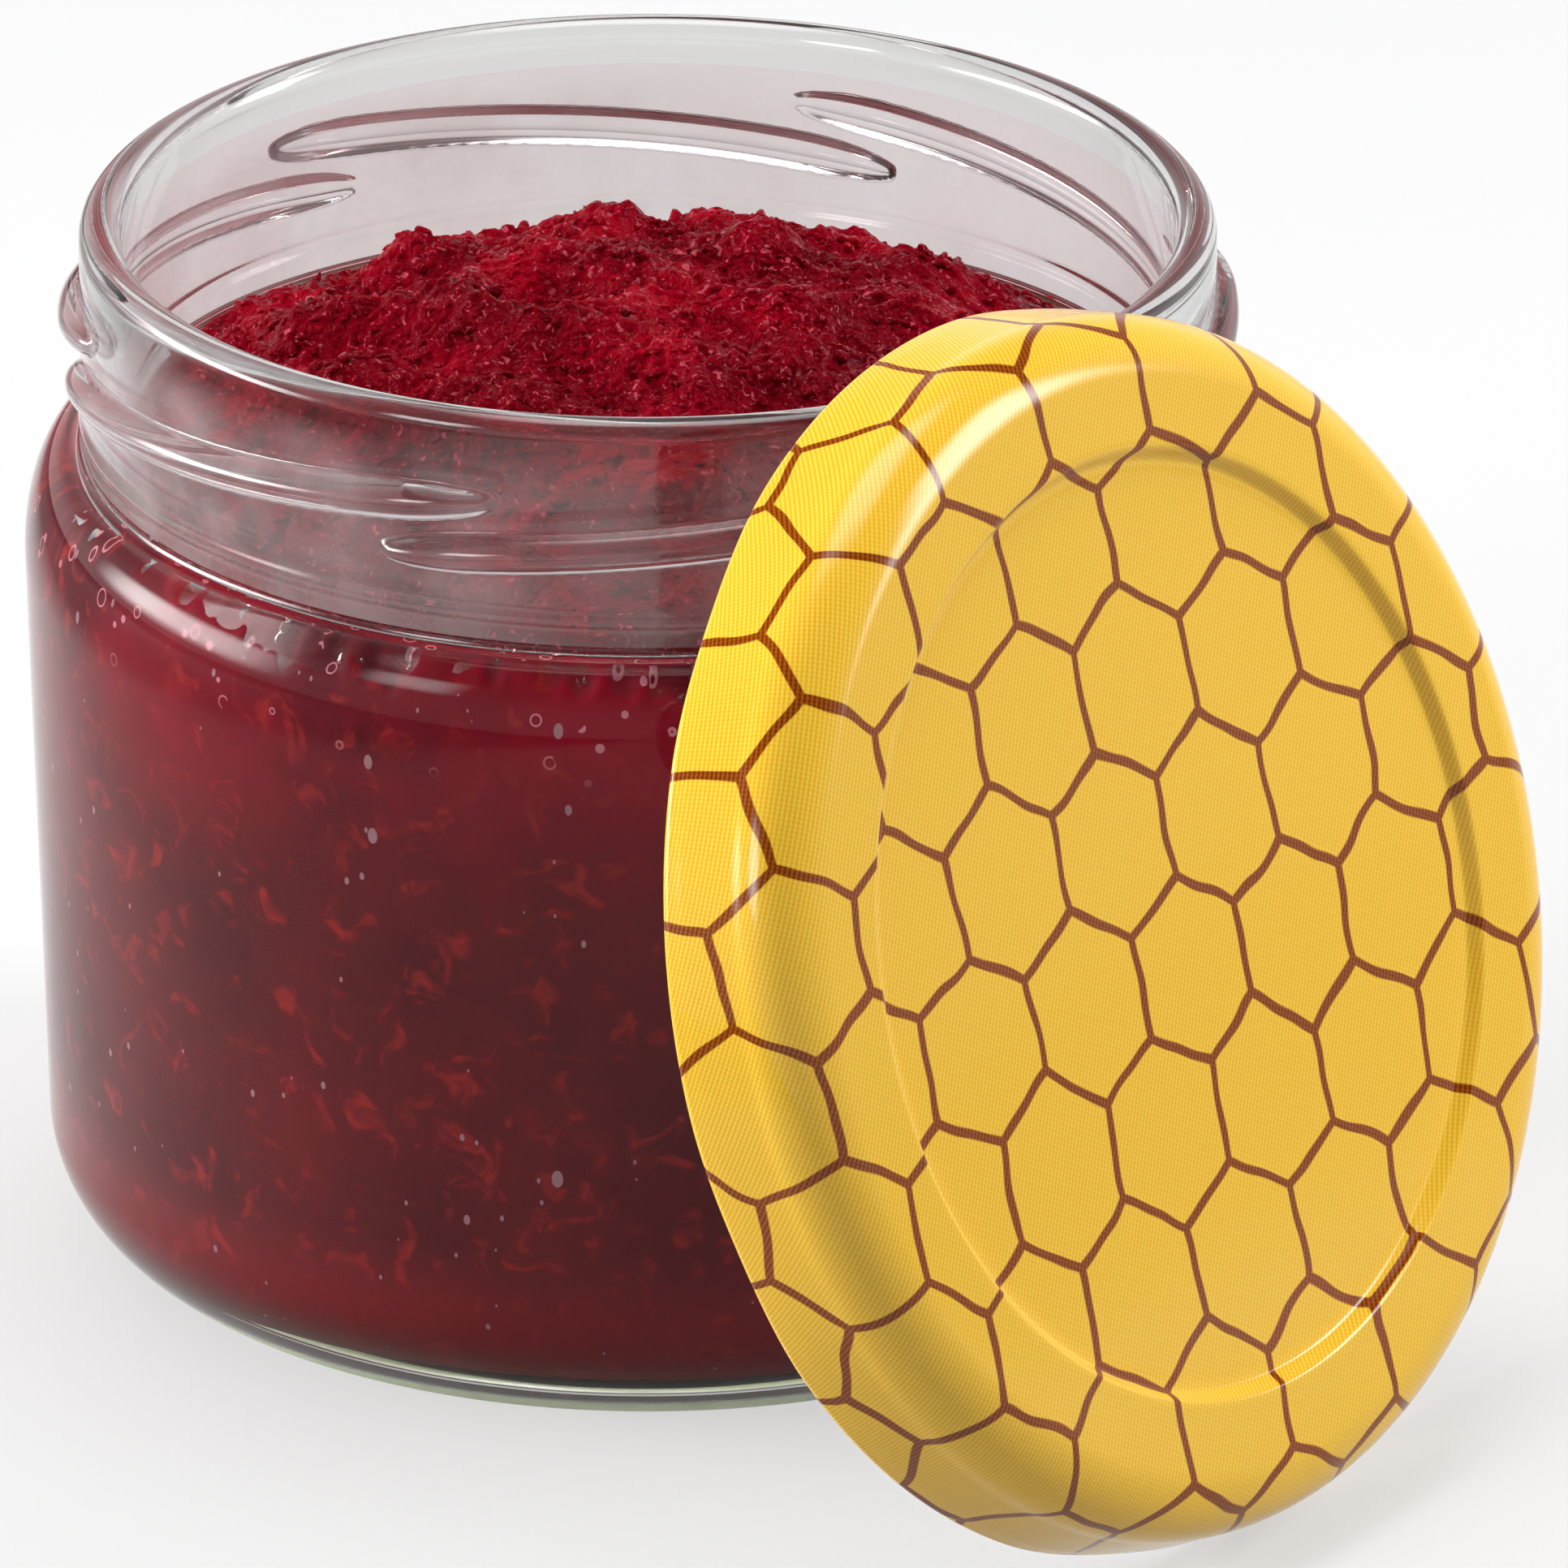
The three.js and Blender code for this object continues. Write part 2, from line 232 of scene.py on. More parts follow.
# Painted light: brighter red near the floor, lifting the shade where the preserve turns down, away
# from the lamps.
PAINTED_LOW_LIGHT_TINT = (0.24, 0.006, 0.012, 1)
PAINTED_LOW_LIGHT_BLEND = (FLOOR_Z + 10, FLOOR_Z)
FRUIT_TINT = (0.3, 0.013, 0.013, 1)
FRUIT_LEVELS = (0.53, 0.74)
SPOT_TINT = (0.36, 0.18, 0.2, 1)
DOTS = (420.0, 0.87)  # rate, and the share of cells left out
SPECKS = (900.0, 0.8)
SPOT_STRETCH = (1.0, 1.0, 0.6)
SPOT_SIZE = (0.12, 0.05)  # how much it varies, and the least
FROTH_TINT = (0.6, 0.2, 0.24, 1)
FROTH_RATE = 620.0
FROTH_SIZE = (0.2, 0.12)
FROTH_RIM = 0.035
FROTH_STRINGS = (0.9, -0.1)
FROTH_BAND = 2
BUBBLE_TINT = (1.0, 0.5, 0.56, 1)
JUICE_IOR = 1.33

# Lid looks. Pitches are in millimetres, turns in radians, pairs are the two tones of the screen.
GROUND = ((0.95, 0.49, 0.016, 1), (0.99, 0.66, 0.075, 1))
INK = ((0.2, 0.03, 0.001, 1), (0.36, 0.09, 0.004, 1))
CELL_PITCH = 11.6
CELL_TURN = 0.3
CELL_WOBBLE = (0.02, 0.02, 0)
CELL_SLANT = (0.5, 0.8660254, 0)  # direction of a slanting cell wall's middle
LINE_EDGE = (0.036, 0.024)
SCREEN_PITCH = 0.34
SCREEN_TURN = 0.8
SCREEN_SLANT = 0.5
SCREEN_EDGE = (-0.7, 0.7)
LACQUER_STOPS = [(0.35, (0.8, 0.79, 0.75, 1)), (0.65, (0.88, 0.87, 0.84, 1))]
SEAL_STOPS = [(0.3, (0.8, 0.78, 0.72, 1)), (0.7, (0.9, 0.88, 0.84, 1))]

# Stage, in metres
WHITE = (1, 1, 1, 1)
FLOOR_SIDE = 3.0
FLOOR_DROP = 0.00005
FLOOR_GREYS = ((0.15, 0.15, 0.15, 1), (0.36, 0.36, 0.36, 1))
FLOOR_GLOW = (0.42, 0.1)  # more on the paper, and everywhere
PAPER_EDGE = (-0.2, -0.095)
LAMP_FADE = (0.5, 0.15)
SKY_LIGHT = 0.22
SKY_RISE = (0.2, 0.6)  # upward share of the view over which the backdrop dims
SKY_GLOW = (1.0, 0.12)

# Lamps: name, heading from the camera's to its left, height, distance, size and power
LAMPS = [
    ("left", 92, 0.18, 0.75, (0.8, 0.3), 15.5),
    ("front", 45, 0.45, 0.85, (0.36, 0.32), 4.5),
    ("right", -95, 0.35, 0.7, (0.3, 0.6), 9.5),
    ("top", 180, 0.85, 0.15, (0.7, 0.7), 9.5),
]

jar_low, jar_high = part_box("glass_jar")
jar_x = (jar_low[0] + jar_high[0]) / 2
jar_y = (jar_low[1] + jar_high[1]) / 2
JAR_PLACE = Matrix.Translation((jar_x, jar_y, 0))
LID_PLACE = (
    Matrix.Translation(Vector(LID_AT) * MM)
    @ Matrix.Rotation(math.radians(90 - LID_LEAN), 4, "X")
    @ Matrix.Rotation(math.radians(LID_ROLL), 4, "Z")
)


def arc(x, z, rx, rz, start, end, steps):
    """Points of an elliptical arc, angles in degrees."""
    turn = np.radians(np.linspace(start, end, steps + 1))
    return [(x + rx * math.cos(a), z + rz * math.sin(a)) for a in turn]


def line(a, b, steps):
    """Points from a up to b, without b."""
    share = np.linspace(0, 1, steps, endpoint=False)
    return [(a[0] + (b[0] - a[0]) * s, a[1] + (b[1] - a[1]) * s) for s in share]


def lattice(cells, seed):
    """Fixed random number for each whole cell, from large numbers that scatter neighbours."""
    key = cells @ np.array([127.1, 311.7, 74.7]) + seed * 17.13
    return np.mod(np.sin(key) * 43758.5453, 1.0)


def noise(points, size, seed):
    """Smooth noise from 0 to 1 at points of shape (n, 3), with features of about that size."""
    scaled = points / size
    low = np.floor(scaled)
    part = scaled - low
    part = part * part * (3 - 2 * part)
    total = np.zeros(len(points))
    for corner in np.ndindex(2, 2, 2):
        side = np.array(corner)
        weight = np.prod(np.where(side, part, 1 - part), axis=1)
        total += weight * lattice(low + side, seed)
    return total


def layered(points, size, seed, layers=3):
    """Noise with finer layers added, from 0 to 1."""
    total = np.zeros(len(points))
    for i in range(layers):
        total += noise(points, size / 2**i, seed + i) / 2**i
    return total / (2 - 0.5 ** (layers - 1))


def grid_faces(rows, columns):
    """Quads between neighbouring rows of a turned surface."""
    start = (np.arange(rows - 1) * columns)[:, None]
    here = np.arange(columns)[None, :]
    after = (here + 1) % columns
    above = start + columns
    quads = np.stack([start + here, start + after, above + after, above + here], -1)
    return quads.reshape(-1, 4)


def turned(profile, columns):
    """Radius, height and angle of each point of a profile turned about the axis."""
    radius = np.repeat([p[0] for p in profile], columns)
    height = np.repeat([p[1] for p in profile], columns)
    angle = np.tile(np.linspace(0, 2 * math.pi, columns, endpoint=False), len(profile))
    return radius, height, angle


def to_points(radius, height, angle):
    """Points of shape (n, 3) from radius, height and angle."""
    return np.stack([radius * np.cos(angle), radius * np.sin(angle), height], -1)


def build(name, points, faces, place, weld=True):
    """Mesh object from points in millimetres, smooth, in place."""
    mesh = bpy.data.meshes.new(name)
    mesh.from_pydata((points * MM).tolist(), [], faces.tolist())
    mesh.update()
    if weld:
        shape = bmesh.new()
        shape.from_mesh(mesh)
        bmesh.ops.remove_doubles(shape, verts=shape.verts, dist=1e-7)
        bmesh.ops.recalc_face_normals(shape, faces=shape.faces)
        shape.to_mesh(mesh)
        shape.free()
    mesh.transform(place)
    mesh.shade_smooth()
    piece = bpy.data.objects.new(name, mesh)
    bpy.context.scene.collection.objects.link(piece)
    return piece


def finish_piece(piece, body, node, materials):
    """Give a piece its looks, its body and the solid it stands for."""
    for look in materials:
        piece.data.materials.append(look)
    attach(piece, body)
    if node:
        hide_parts(node)


def new_material(name, settings):
    """Material with these shader settings, with its nodes and its shader."""
    look = bpy.data.materials.new(name)
    look.use_nodes = True
    shader = look.node_tree.nodes["Principled BSDF"]
    for key, value in settings.items():
        shader.inputs[key].default_value = value
    return look, look.node_tree, shader


def add(tree, kind, values=None, **options):
    """New node. A value is a constant or another node's output."""
    node = tree.nodes.new("ShaderNode" + kind)
    for key, value in options.items():
        setattr(node, key, value)
    for key, value in (values or {}).items():
        if isinstance(value, bpy.types.NodeSocket):
            tree.links.new(value, node.inputs[key])
        else:
            node.inputs[key].default_value = value
    return node


def math_node(tree, operation, a, b=0.0, c=0.0):
    return add(tree, "Math", {0: a, 1: b, 2: c}, operation=operation).outputs[0]


def vector_node(tree, operation, a, b=(0, 0, 0), c=(0, 0, 0)):
    return add(tree, "VectorMath", {0: a, 1: b, 2: c}, operation=operation)


def mix(tree, factor, a, b):
    node = add(tree, "Mix", {0: factor, 6: a, 7: b}, data_type="RGBA")
    return node.outputs[2]


def ramp(tree, factor, stops):
    node = add(tree, "ValToRGB", {0: factor})
    elements = node.color_ramp.elements
    elements[0].position, elements[0].color = stops[0]
    elements[1].position, elements[1].color = stops[-1]
    for position, color in stops[1:-1]:
        elements.new(position).color = color
    return node.outputs[0]


def window(tree, value, low, high):
    """0 below low, 1 above high, smooth between them."""
    values = {0: value, 1: low, 2: high, 3: 0.0, 4: 1.0}
    return add(tree, "MapRange", values, interpolation_type="SMOOTHSTEP").outputs[0]


def own_place(tree):
    """Place on the piece, in metres."""
    return add(tree, "TexCoord").outputs["Object"]


def noise_node(tree, place, scale, detail, **more):
    """Noise texture. More sets its other inputs by name."""
    values = {"Vector": place, "Scale": scale, "Detail": detail, **more}
    return add(tree, "TexNoise", values)


def height_of(tree, place):
    """Height above the table in millimetres."""
    return math_node(tree, "DIVIDE", add(tree, "SeparateXYZ", {0: place}).outputs[2], MM)


def to_right(tree, place):
    """Distance to the right of the origin in the photograph's view, in metres."""
    turn = math.radians(HEADING)
    right = (-math.sin(turn), math.cos(turn), 0)
    return vector_node(tree, "DOT_PRODUCT", place, right).outputs["Value"]


# Glass
def glass_outside():
    push = [(BEARING[0] * s, PUSH_UP * (1 - s * s)) for s in np.linspace(0, 1, 16)]
    top = SHOULDER_Z
    shoulder_x = FINISH_RADIUS + FILLET
    return (
        push
        + [(BEARING[0] + 1, 0), (BEARING[1] - 1, 0)]
        + arc(BEARING[1], HEEL_ROUND, HEEL_ROUND, HEEL_ROUND, -90, 0, 28)[:-1]
        + line((HEEL_RADIUS, HEEL_ROUND), (BODY_RADIUS, top), 40)
        + arc(shoulder_x, top, BODY_RADIUS - shoulder_x, NECK_Z - top, 0, 90, 28)[:-1]
        + arc(shoulder_x, NECK_Z + FILLET, FILLET, FILLET, 270, 180, 10)
        + line((FINISH_RADIUS, NECK_Z + FILLET + NUDGE), (FINISH_RADIUS, JAR_HEIGHT - RIM_ROUND), 100)
        + arc(FINISH_RADIUS - RIM_ROUND, JAR_HEIGHT - RIM_ROUND, RIM_ROUND, RIM_ROUND, 0, 180, 24)
    )


def glass_inside(inset):
    """From the neck down to the middle of the floor, drawn in by an inset."""
    top = NECK_Z - INNER_DROP
    foot = SHOULDER_Z - INNER_DROP
    bore = BORE_RADIUS - inset
    body = INNER_BODY - inset
    heel = INNER_HEEL - inset
    round_x = heel - INNER_HEEL_ROUND
    round_z = FLOOR_Z + inset + INNER_HEEL_ROUND
    shoulder_x = bore + FILLET
    return (
        line((bore, JAR_HEIGHT - RIM_ROUND - NUDGE), (bore, top + FILLET), 20)
        + arc(shoulder_x, top + FILLET, FILLET, FILLET, 180, 270, 8)[:-1]
        + arc(shoulder_x, foot, body - shoulder_x, top - foot, 90, 0, 24)[:-1]
        + line((body, foot), (heel, round_z), 40)
        + arc(round_x, round_z, INNER_HEEL_ROUND, INNER_HEEL_ROUND, 0, -90, 16)
        + [(round_x * s, FLOOR_Z + inset + PUSH_UP * (1 - s * s)) for s in np.linspace(0.96, 0, 14)]
    )


def thread_height(height, angle):
    """How far the threads stand out of the wall."""
    proud = np.zeros(len(height))
    degrees = np.degrees(angle)
    for start in THREAD_FIRST + np.arange(THREAD_STARTS) * 360 / THREAD_STARTS:
        along = np.mod(degrees - start, 360)
        from_end = np.clip(np.minimum(along, THREAD_SPAN - along) / THREAD_POINT, 0, 1)
        size = np.sqrt(1 - (1 - from_end) ** 2)
        centre = THREAD_LOW + (THREAD_HIGH - THREAD_LOW) * along / THREAD_SPAN
        half = THREAD_HEIGHT / 2 * (THREAD_TIP + (1 - THREAD_TIP) * size)
        across = np.clip(np.abs(height - centre) / half, 0, 1)
        section = (1 - across**2) ** THREAD_SECTION
        proud = np.maximum(proud, THREAD_PROJECTION * size * section)
    return proud


def seam(height):
    """How far the moulding line stands out of the neck."""
    return SEAM_HEIGHT * np.exp(-(((height - SEAM_Z) / SEAM_WIDTH) ** 2))


def glass_piece():
    outside = glass_outside()
    profile = outside + glass_inside(0)
    radius, height, angle = turned(profile, GLASS_COLUMNS)
    outer = np.arange(len(radius)) < len(outside) * GLASS_COLUMNS
    wall = outer & (height > NECK_Z + FILLET) & (height < JAR_HEIGHT - RIM_ROUND)
    radius[wall] += thread_height(height[wall], angle[wall])
    radius[wall] += seam(height[wall])
    points = to_points(radius, height, angle)
    inner = ~outer & (radius > 1)
    wave = layered(points[inner], WAVE_SIZE, seed=5) - 0.5
    points[inner, :2] *= (1 + WAVE_HEIGHT * wave / radius[inner])[:, None]
    faces = grid_faces(len(profile), GLASS_COLUMNS)
    piece = build("glass", points, faces, JAR_PLACE)
    mark_glass(piece)
    looks = [glass_material("clear_glass", BODY_SHINE), smear_and_haze_material(), foot_material()]
    looks.append(glass_material("finish_glass", FINISH_SHINE))
    finish_piece(piece, "jar", "glass_jar", looks)


def mark_glass(piece):
    """Choose the look of each face: body, inside of the neck, foot or finish."""
    centre = np.empty(len(piece.data.polygons) * 3)
    piece.data.polygons.foreach_get("center", centre)
    x, y, z = centre.reshape(-1, 3).T / MM
    inner = np.hypot(x - jar_x / MM, y - jar_y / MM) < BORE_RADIUS + RIM_ROUND / 2
    neck = inner & (z > NECK_Z) & (z < JAR_HEIGHT - 2 * RIM_ROUND)
    foot = z < FOOT_Z
    finish = ~neck & (z > NECK_Z)
    index = neck + 2 * foot + 3 * finish
    piece.data.polygons.foreach_set("material_index", index.astype(np.int32))


def glass_look(name, settings, tint):
    """Glass for what the camera, mirrors and other glass see; light passes straight through it."""
    look, tree, shader = new_material(name, settings)
    place = own_place(tree)
    ripple = noise_node(tree, place, scale=90.0, detail=1.0).outputs[0]
    bump = add(tree, "Bump", {"Strength": 0.04, "Distance": 0.001, "Height": ripple}).outputs[0]
    tree.links.new(bump, shader.inputs["Normal"])
    path = add(tree, "LightPath").outputs
    light = math_node(tree, "MAXIMUM", path["Is Shadow Ray"], path["Is Diffuse Ray"])
    clear = add(tree, "BsdfTransparent", {"Color": tint}).outputs[0]
    both = add(tree, "MixShader", {0: light, 1: shader.outputs[0], 2: clear}).outputs[0]
    output = next(node for node in tree.nodes if node.type == "OUTPUT_MATERIAL")
    tree.links.new(both, output.inputs["Surface"])
    return look, tree, shader


def glass_material(name, shine):
    settings = {
        "Base Color": GLASS_TINT,
        "Roughness": POLISH,
        "IOR": GLASS_IOR,
        "Specular Tint": (shine, shine, shine, 1),
        "Transmission Weight": 1.0,
    }
    return glass_look(name, settings, GLASS_SHADE)[0]


def smear_and_haze_material():
    """Inside of the neck, smeared with juice; the pale film is partly this smear and partly painted
    haze, heavier on the left as painted sheen.
    """
    settings = {"Base Color": SMEAR_AND_HAZE_TINT, "Roughness": 0.05, "IOR": GLASS_IOR}
    look, tree, shader = glass_look("smeared_and_hazed_glass", settings, SMEAR_SHADE)
    place = own_place(tree)
    smear = noise_node(tree, place, scale=110.0, detail=5.0).outputs[0]
    starts, full = SMEAR_BELOW_RIM
    below_rim = window(tree, height_of(tree, place), JAR_HEIGHT - starts, JAR_HEIGHT - full)
    # Painted haze: more of the film on the left side of the view.
    painted_haze_leftward = window(tree, to_right(tree, place), *PAINTED_HAZE_LEFTWARD)
    thick = math_node(tree, "MULTIPLY", window(tree, smear, *SMEAR_LEVELS), below_rim)
    share = math_node(tree, "MULTIPLY_ADD", painted_haze_leftward, *SMEAR_AND_HAZE_SHARES)
    film = math_node(tree, "MULTIPLY", thick, share)
    tree.links.new(math_node(tree, "SUBTRACT", 1.0, film), shader.inputs["Transmission Weight"])
    return look


def foot_material():
    """Ring that the jar stands on and the heel just above it, milky and faintly green: the ring's
    stipple, and on the heel painted light that stands for light caught in the thick base glass.
    """
    settings = {"IOR": GLASS_IOR, "Specular Tint": (BODY_SHINE, BODY_SHINE, BODY_SHINE, 1)}
    look, tree, shader = glass_look("stippled_glass_with_painted_light", settings, FOOT_SHADE)
    place = own_place(tree)
    # Painted light on the heel: the glass turns milky and diffuse below the foot height.
    milky_and_painted_light = window(tree, height_of(tree, place), FOOT_Z, FOOT_Z - FOOT_BLEND)
    stipple = noise_node(tree, place, scale=400.0, detail=3.0).outputs[0]
    cloud = math_node(tree, "MULTIPLY", milky_and_painted_light, window(tree, stipple, *FOOT_LEVELS))
    tree.links.new(math_node(tree, "SUBTRACT", 1.0, cloud), shader.inputs["Transmission Weight"])
    dull = math_node(tree, "MULTIPLY_ADD", milky_and_painted_light, FOOT_ROUGHNESS, POLISH)
    tree.links.new(dull, shader.inputs["Roughness"])
    tint = mix(tree, milky_and_painted_light, GLASS_TINT, STIPPLE_AND_PAINTED_LIGHT_TINT)
    tree.links.new(tint, shader.inputs["Base Color"])
    return look


# Preserve
def lumps(points):
    """Main lumps of the heap: waves of one length that cross in several directions."""
    total = 0
    for i in range(LUMP_WAVES):
        turn = math.radians(LUMP_TURN * i)
        way = points[:, 0] * math.cos(turn) + points[:, 1] * math.sin(turn)
        total = total + np.sin(2 * math.pi * way / LUMP_PITCH + i)
    return LUMP_HEIGHT * total / LUMP_WAVES


def heap_height(radius, points):
    """Lumpy, grated top of the preserve above its edge."""
    share = np.clip(radius / HEAP_EDGE, 0, 1)
    dome = HEAP_RISE * (1 - share**HEAP_POWER)
    main_fade = np.clip((HEAP_EDGE - radius) / LUMP_FADE, 0, 1)
    fine_fade = np.clip((HEAP_EDGE - radius) / FINE_FADE, 0, 1)
    clods = CLOD[0] * (layered(points, CLOD[1], seed=11, layers=2) - 0.5)
    grains = GRAIN[0] * (layered(points, GRAIN[1], seed=21, layers=2) - 0.5)
    ridges = np.abs(2 * layered(points, CRUMB[1], seed=31, layers=1) - 1)
    crumbs = CRUMB[0] * (0.5 - ridges)
    inside_bore = np.clip((BORE_RADIUS - radius) / (BORE_RADIUS - HEAP_EDGE), 0, 1)
    edge_height = CLIMB[0] + CLIMB[1] * layered(points, CLIMB_SIZE, seed=51, layers=2)
    climb = inside_bore * edge_height * np.exp((radius - HEAP_EDGE) / CLIMB_FADE)
    return dome + climb + main_fade * lumps(points) + fine_fade * (clods + grains + crumbs)


def contact_level(angle):
    """Height up to which the preserve touches the glass, uneven around the jar."""
    ring = np.stack([np.cos(angle), np.sin(angle), np.zeros(len(angle))], -1) * INNER_BODY
    return CONTACT_Z + CONTACT_RISE * layered(ring, CONTACT_SIZE, seed=41, layers=2)


def air_gap(height, angle):
    """How far the preserve hangs back from the glass under the neck, in ragged patches."""
    wall = to_points(INNER_BODY, height, angle)
    ragged = RAGGED[0] * (layered(wall, RAGGED[1], seed=47, layers=2) - 0.5)
    open_below = np.clip((height - contact_level(angle) + ragged) / GAP_OPENING, 0, 1)
    shut_above = np.clip((GAP_TOP - height) / GAP_CLOSING, 0, 1)
    return GAP_DEPTH * open_below * shut_above


def fill_piece():
    side = [p for p in glass_inside(-PRESS) if p[1] <= FILL_TOP]
    side.reverse()
    edge, top_z = side[-1]
    top = [(edge * s, top_z) for s in np.linspace(1, 0, HEAP_ROWS)[1:] ** HEAP_SPACING]
    profile = side + top
    radius, height, angle = turned(profile, FILL_COLUMNS)
    flat = to_points(radius, np.zeros(len(radius)), angle)
    is_top = np.arange(len(radius)) >= len(side) * FILL_COLUMNS
    height[is_top] += heap_height(radius[is_top], flat[is_top])
    radius[~is_top] -= air_gap(height[~is_top], angle[~is_top])
    points = to_points(radius, height, angle)
    faces = grid_faces(len(profile), FILL_COLUMNS)
    piece = build("preserve", points, faces, JAR_PLACE, weld=False)
    rows = np.repeat(np.arange(len(profile) - 1) >= len(side) - 1, FILL_COLUMNS)
    piece.data.polygons.foreach_set("material_index", rows.astype(np.int32))
    finish_piece(piece, "jar", "preserve_fill", [side_material(), heap_material()])


def ellipsoids(centre, along, aside, sizes, rings, sides):
    """Points and faces of many small ellipsoids, each with its own place, axes and half sizes."""
    count = len(centre)
    up = np.cross(along, aside)
    layers = []
    for s in np.cos(math.pi * np.linspace(1 - POLE, POLE, rings)):
        girth = math.sqrt(1 - s * s)
        for turn in np.linspace(0, 2 * math.pi, sides, endpoint=False):
            reach = np.array([s, girth * math.cos(turn), girth * math.sin(turn)]) * sizes
            flat = along * reach[:, :1] + aside * reach[:, 1:2]
            layers.append(centre + flat + up * reach[:, 2:])
    points = np.stack(layers, 1).reshape(-1, 3)
    quads = grid_faces(rings, sides)[:, ::-1]
    offset = (np.arange(count) * rings * sides)[:, None, None]
    return points, (quads[None] + offset).reshape(-1, 4)


def gratings_piece():
    """Loose gratings on the heap, moist with juice."""
    source = np.random.default_rng(7)
    count = GRATING_COUNT
    radius = HEAP_EDGE * GRATING_REACH * np.sqrt(source.random(count))
    angle = source.random(count) * 2 * math.pi
    flat = to_points(radius, np.zeros(count), angle)
    height = FILL_TOP - GRATING_SINK + heap_height(radius, flat)
    turn = source.random(count) * 2 * math.pi
    tilt = source.normal(0, GRATING_TILT, count)
    level = np.cos(tilt)
    along = np.stack([np.cos(turn) * level, np.sin(turn) * level, np.sin(tilt)], -1)
    aside = np.stack([-np.sin(turn), np.cos(turn), np.zeros(count)], -1)
    length = GRATING_LENGTH[0] + GRATING_LENGTH[1] * source.random(count) ** 3
    width = length * source.uniform(*GRATING_WIDTH, count)
    sizes = np.stack([length, width, width * GRATING_FLATNESS], -1)
    centre = to_points(radius, height, angle)
    points, faces = ellipsoids(centre, along, aside, sizes, rings=6, sides=7)
    dents = layered(points, GRATING_ROUGHNESS[1], seed=71, layers=1) - 0.5
    points += GRATING_ROUGHNESS[0] * dents[:, None]
    piece = build("gratings", points, faces, JAR_PLACE, weld=False)
    finish_piece(piece, "jar", None, [heap_material()])


def bubbles_piece():
    """Air bubbles caught between the preserve and the glass, under the neck."""
    source = np.random.default_rng(3)
    angle = source.random(BUBBLE_COUNT) * 2 * math.pi
    size = BUBBLE_SIZE[0] + BUBBLE_SIZE[1] * source.random(BUBBLE_COUNT) ** 2
    height = contact_level(angle) + source.uniform(*BUBBLE_RISE, BUBBLE_COUNT)
    rise = np.clip((height - SHOULDER_Z + INNER_DROP) / (NECK_Z - SHOULDER_Z), 0, 1)
    neck = BORE_RADIUS + FILLET
    wall = neck + (INNER_BODY - neck) * np.sqrt(1 - rise**2)
    centre = to_points(wall - size - BUBBLE_CLEARANCE, height, angle)
    along = np.tile([0.0, 0.0, 1.0], (BUBBLE_COUNT, 1))
    aside = np.stack([-np.sin(angle), np.cos(angle), np.zeros(BUBBLE_COUNT)], -1)
    sizes = np.stack([size, size, size], -1)
    points, faces = ellipsoids(centre, along, aside, sizes, rings=12, sides=16)
    piece = build("bubbles", points, faces, JAR_PLACE, weld=False)
    finish_piece(piece, "jar", None, [bubble_material()])


def bubble_material():
    settings = {
        "Base Color": BUBBLE_TINT,
        "Roughness": 0.02,
        "IOR": JUICE_IOR,
        "Transmission Weight": 1.0,
    }
    look, tree, shader = new_material("juice_bubble", settings)
    place = own_place(tree)
    film = noise_node(tree, place, scale=900.0, detail=1.0).outputs[0]
    bump = add(tree, "Bump", {"Strength": 0.05, "Distance": 0.0005, "Height": film}).outputs[0]
    tree.links.new(bump, shader.inputs["Normal"])
    return look


def heap_material():
    settings = {
        "Roughness": 0.12,
        "Specular IOR Level": 0.05,
        "Specular Tint": (1.0, 0.25, 0.3, 1),
        "Subsurface Weight": 0.25,
        "Subsurface Radius": (1.0, 0.06, 0.08),
        "Subsurface Scale": 0.0012,
    }
    look, tree, shader = new_material("preserve_top", settings)
    place = own_place(tree)
    broad = noise_node(tree, place, scale=110.0, detail=5.0).outputs[0]
    body = ramp(tree, broad, HEAP_STOPS)
    fine = noise_node(tree, place, scale=1500.0, detail=2.0, Distortion=0.8).outputs[0]
    # Painted glints: a fine noise mixes pale pink specks into the heap's colour.
    painted_glints = window(tree, fine, *PAINTED_GLINT_LEVELS)
    tree.links.new(mix(tree, painted_glints, body, PAINTED_GLINT_TINT), shader.inputs["Base Color"])
    warp = noise_node(tree, place, scale=700.0, detail=2.0).outputs["Color"]
    bent = vector_node(tree, "MULTIPLY_ADD", warp, GRAIN_WARP, place).outputs[0]
    grain = add(tree, "TexVoronoi", {"Vector": bent, "Scale": 1700.0}).outputs["Distance"]
    relief = {"Strength": 0.8, "Distance": 0.0004, "Height": grain}
    bump = add(tree, "Bump", relief, invert=True).outputs[0]
    tree.links.new(bump, shader.inputs["Normal"])
    return look


